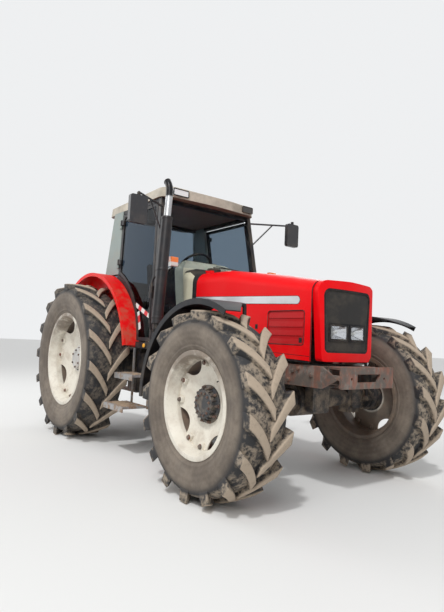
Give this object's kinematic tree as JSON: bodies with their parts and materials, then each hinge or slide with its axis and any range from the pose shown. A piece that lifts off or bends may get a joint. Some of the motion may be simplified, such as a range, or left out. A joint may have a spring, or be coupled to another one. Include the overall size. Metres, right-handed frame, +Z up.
{
  "type": "farm tractor",
  "caption": "Farm tractor with enclosed cab, sloping hood, large lugged tyres, black front fenders and a rear three-point linkage.",
  "frame": {"origin": "on the ground in the middle of the tractor's length and width", "axes": "+X forward, +Y to the driver's left, +Z up"},
  "size_m": [4.3169, 2.24, 2.7],
  "materials": {
    "red": "gloss paint",
    "drive_black": "painted castings, dusty",
    "worn_steel": "rusted steel",
    "post_grey": "satin paint",
    "trim_black": "matt",
    "roof_grey": "weathered",
    "glass": "tinted",
    "step_metal": "worn",
    "exhaust_black": "heat-proof paint",
    "pipe_metal": "bright",
    "seat_cloth": "woven",
    "cream_plastic": "moulded",
    "lamp_white": "smooth",
    "lamp_amber": "clear amber",
    "grille_grey": "mesh",
    "lamp_glass": "clear",
    "fender_black": "dusty",
    "link_paint": "worn paint",
    "tyre": "dusty rubber",
    "rim_cream": "dirty paint"
  },
  "bodies": {
    "chassis": {"engine_block": "drive_black", "radiator": "drive_black", "gearbox_housing": "drive_black", "rear_axle": "drive_black", "drawbar": "worn_steel", "driveshaft": "drive_black", "front_frame": "drive_black", "front_plate": "worn_steel", "front_axle": "drive_black", "cab_posts": "post_grey", "cab_sills": "trim_black", "roof_rails": "trim_black", "cab_floor": "trim_black", "rear_wall": "trim_black", "cab_roof": "roof_grey", "windscreen": "glass", "rear_window": "glass", "cowl": "trim_black", "rear_fenders": "red", "steps": "step_metal", "side_tanks": "trim_black", "exhaust_sleeve": "exhaust_black", "exhaust_pipe": "pipe_metal", "seat_base": "trim_black", "seat_cushion": "seat_cloth", "seat_backrest": "seat_cloth", "dashboard": "cream_plastic", "steering_wheel": "trim_black", "side_console": "cream_plastic", "mirrors": "trim_black", "work_lamps": "lamp_white", "signal_lamps": "lamp_amber"},
    "hood": {"hood": "red", "nose": "red", "grille": "grille_grey", "headlamps": "lamp_glass"},
    "door_left": {"door_left": "trim_black", "door_glass_left": "glass"},
    "door_right": {"door_right": "trim_black", "door_glass_right": "glass"},
    "knuckle_left": {"knuckle_left": "drive_black", "front_fender_left": "fender_black"},
    "knuckle_right": {"knuckle_right": "drive_black", "front_fender_right": "fender_black"},
    "track_rods": {"track_rods": "worn_steel"},
    "wheel_front_left": {"tyre_front_left": "tyre", "rim_front_left": "rim_cream"},
    "wheel_front_right": {"tyre_front_right": "tyre", "rim_front_right": "rim_cream"},
    "wheel_rear_left": {"tyre_rear_left": "tyre", "rim_rear_left": "rim_cream"},
    "wheel_rear_right": {"tyre_rear_right": "tyre", "rim_rear_right": "rim_cream"},
    "lower_links": {"lower_links": "link_paint"},
    "lift_arms": {"lift_arms": "link_paint"},
    "lift_rods": {"lift_rods": "link_paint"},
    "top_link": {"top_link": "link_paint"}
  },
  "joints": [
    {"name": "hood_lift", "type": "hinge", "parent": "chassis", "child": "hood", "pos_m": [0.3675, 0, 1.794], "axis": [0, -1, 0], "range_deg": [0, 45]},
    {"name": "door_left_hinge", "type": "hinge", "parent": "chassis", "child": "door_left", "pos_m": [-0.73319, 0.65346, 1.93], "axis": [-0.1269, -0.0834, 0.9884], "range_deg": [0, 60]},
    {"name": "door_right_hinge", "type": "hinge", "parent": "chassis", "child": "door_right", "pos_m": [-0.73319, -0.65346, 1.93], "axis": [0.1269, -0.0834, -0.9884], "range_deg": [0, 60]},
    {"name": "steer_left", "type": "hinge", "parent": "chassis", "child": "knuckle_left", "pos_m": [1.4915, 0.68, 0.667], "axis": [0, 0, 1], "range_deg": [-35, 35]},
    {"name": "steer_right", "type": "hinge", "parent": "chassis", "child": "knuckle_right", "pos_m": [1.4915, -0.68, 0.667], "axis": [0, 0, 1], "range_deg": [-35, 35]},
    {"name": "track_rod_slide", "type": "slide", "parent": "chassis", "child": "track_rods", "axis": [0, 1, 0], "range_m": [-0.097, 0.097]},
    {"name": "wheel_front_left_spin", "type": "hinge", "parent": "knuckle_left", "child": "wheel_front_left", "pos_m": [1.4915, 0.93, 0.667], "axis": [0, 1, 0], "continuous": true},
    {"name": "wheel_front_right_spin", "type": "hinge", "parent": "knuckle_right", "child": "wheel_front_right", "pos_m": [1.4915, -0.93, 0.667], "axis": [0, 1, 0], "continuous": true},
    {"name": "wheel_rear_left_spin", "type": "hinge", "parent": "chassis", "child": "wheel_rear_left", "pos_m": [-1.1085, 0.89, 0.838], "axis": [0, 1, 0], "continuous": true},
    {"name": "wheel_rear_right_spin", "type": "hinge", "parent": "chassis", "child": "wheel_rear_right", "pos_m": [-1.1085, -0.89, 0.838], "axis": [0, 1, 0], "continuous": true},
    {"name": "lower_links_lift", "type": "hinge", "parent": "chassis", "child": "lower_links", "pos_m": [-1.3985, 0, 0.47], "axis": [0, 1, 0], "range_deg": [-20, 28]},
    {"name": "lift_arms_turn", "type": "hinge", "parent": "chassis", "child": "lift_arms", "pos_m": [-1.3235, 0, 1.075], "axis": [0, 1, 0], "range_deg": [-20.4, 28.54]},
    {"name": "lift_rods_turn", "type": "hinge", "parent": "lift_arms", "child": "lift_rods", "pos_m": [-1.7085, 0, 1.1], "axis": [0, 1, 0], "range_deg": [-31.66, 22.63]},
    {"name": "top_link_swing", "type": "hinge", "parent": "chassis", "child": "top_link", "pos_m": [-1.4805, 0, 0.88], "axis": [0, -1, 0], "range_deg": [-8, 87]}
  ],
  "couplings": [
    {"joint": "steer_right", "follows": "steer_left", "ratio": 1},
    {"joint": "track_rod_slide", "follows": "steer_left", "m_per_rad": -0.158},
    {"joint": "lift_arms_turn", "follows": "lower_links_lift", "ratio": 1.0174},
    {"joint": "lift_rods_turn", "follows": "lower_links_lift", "ratio": -1.1289}
  ]
}
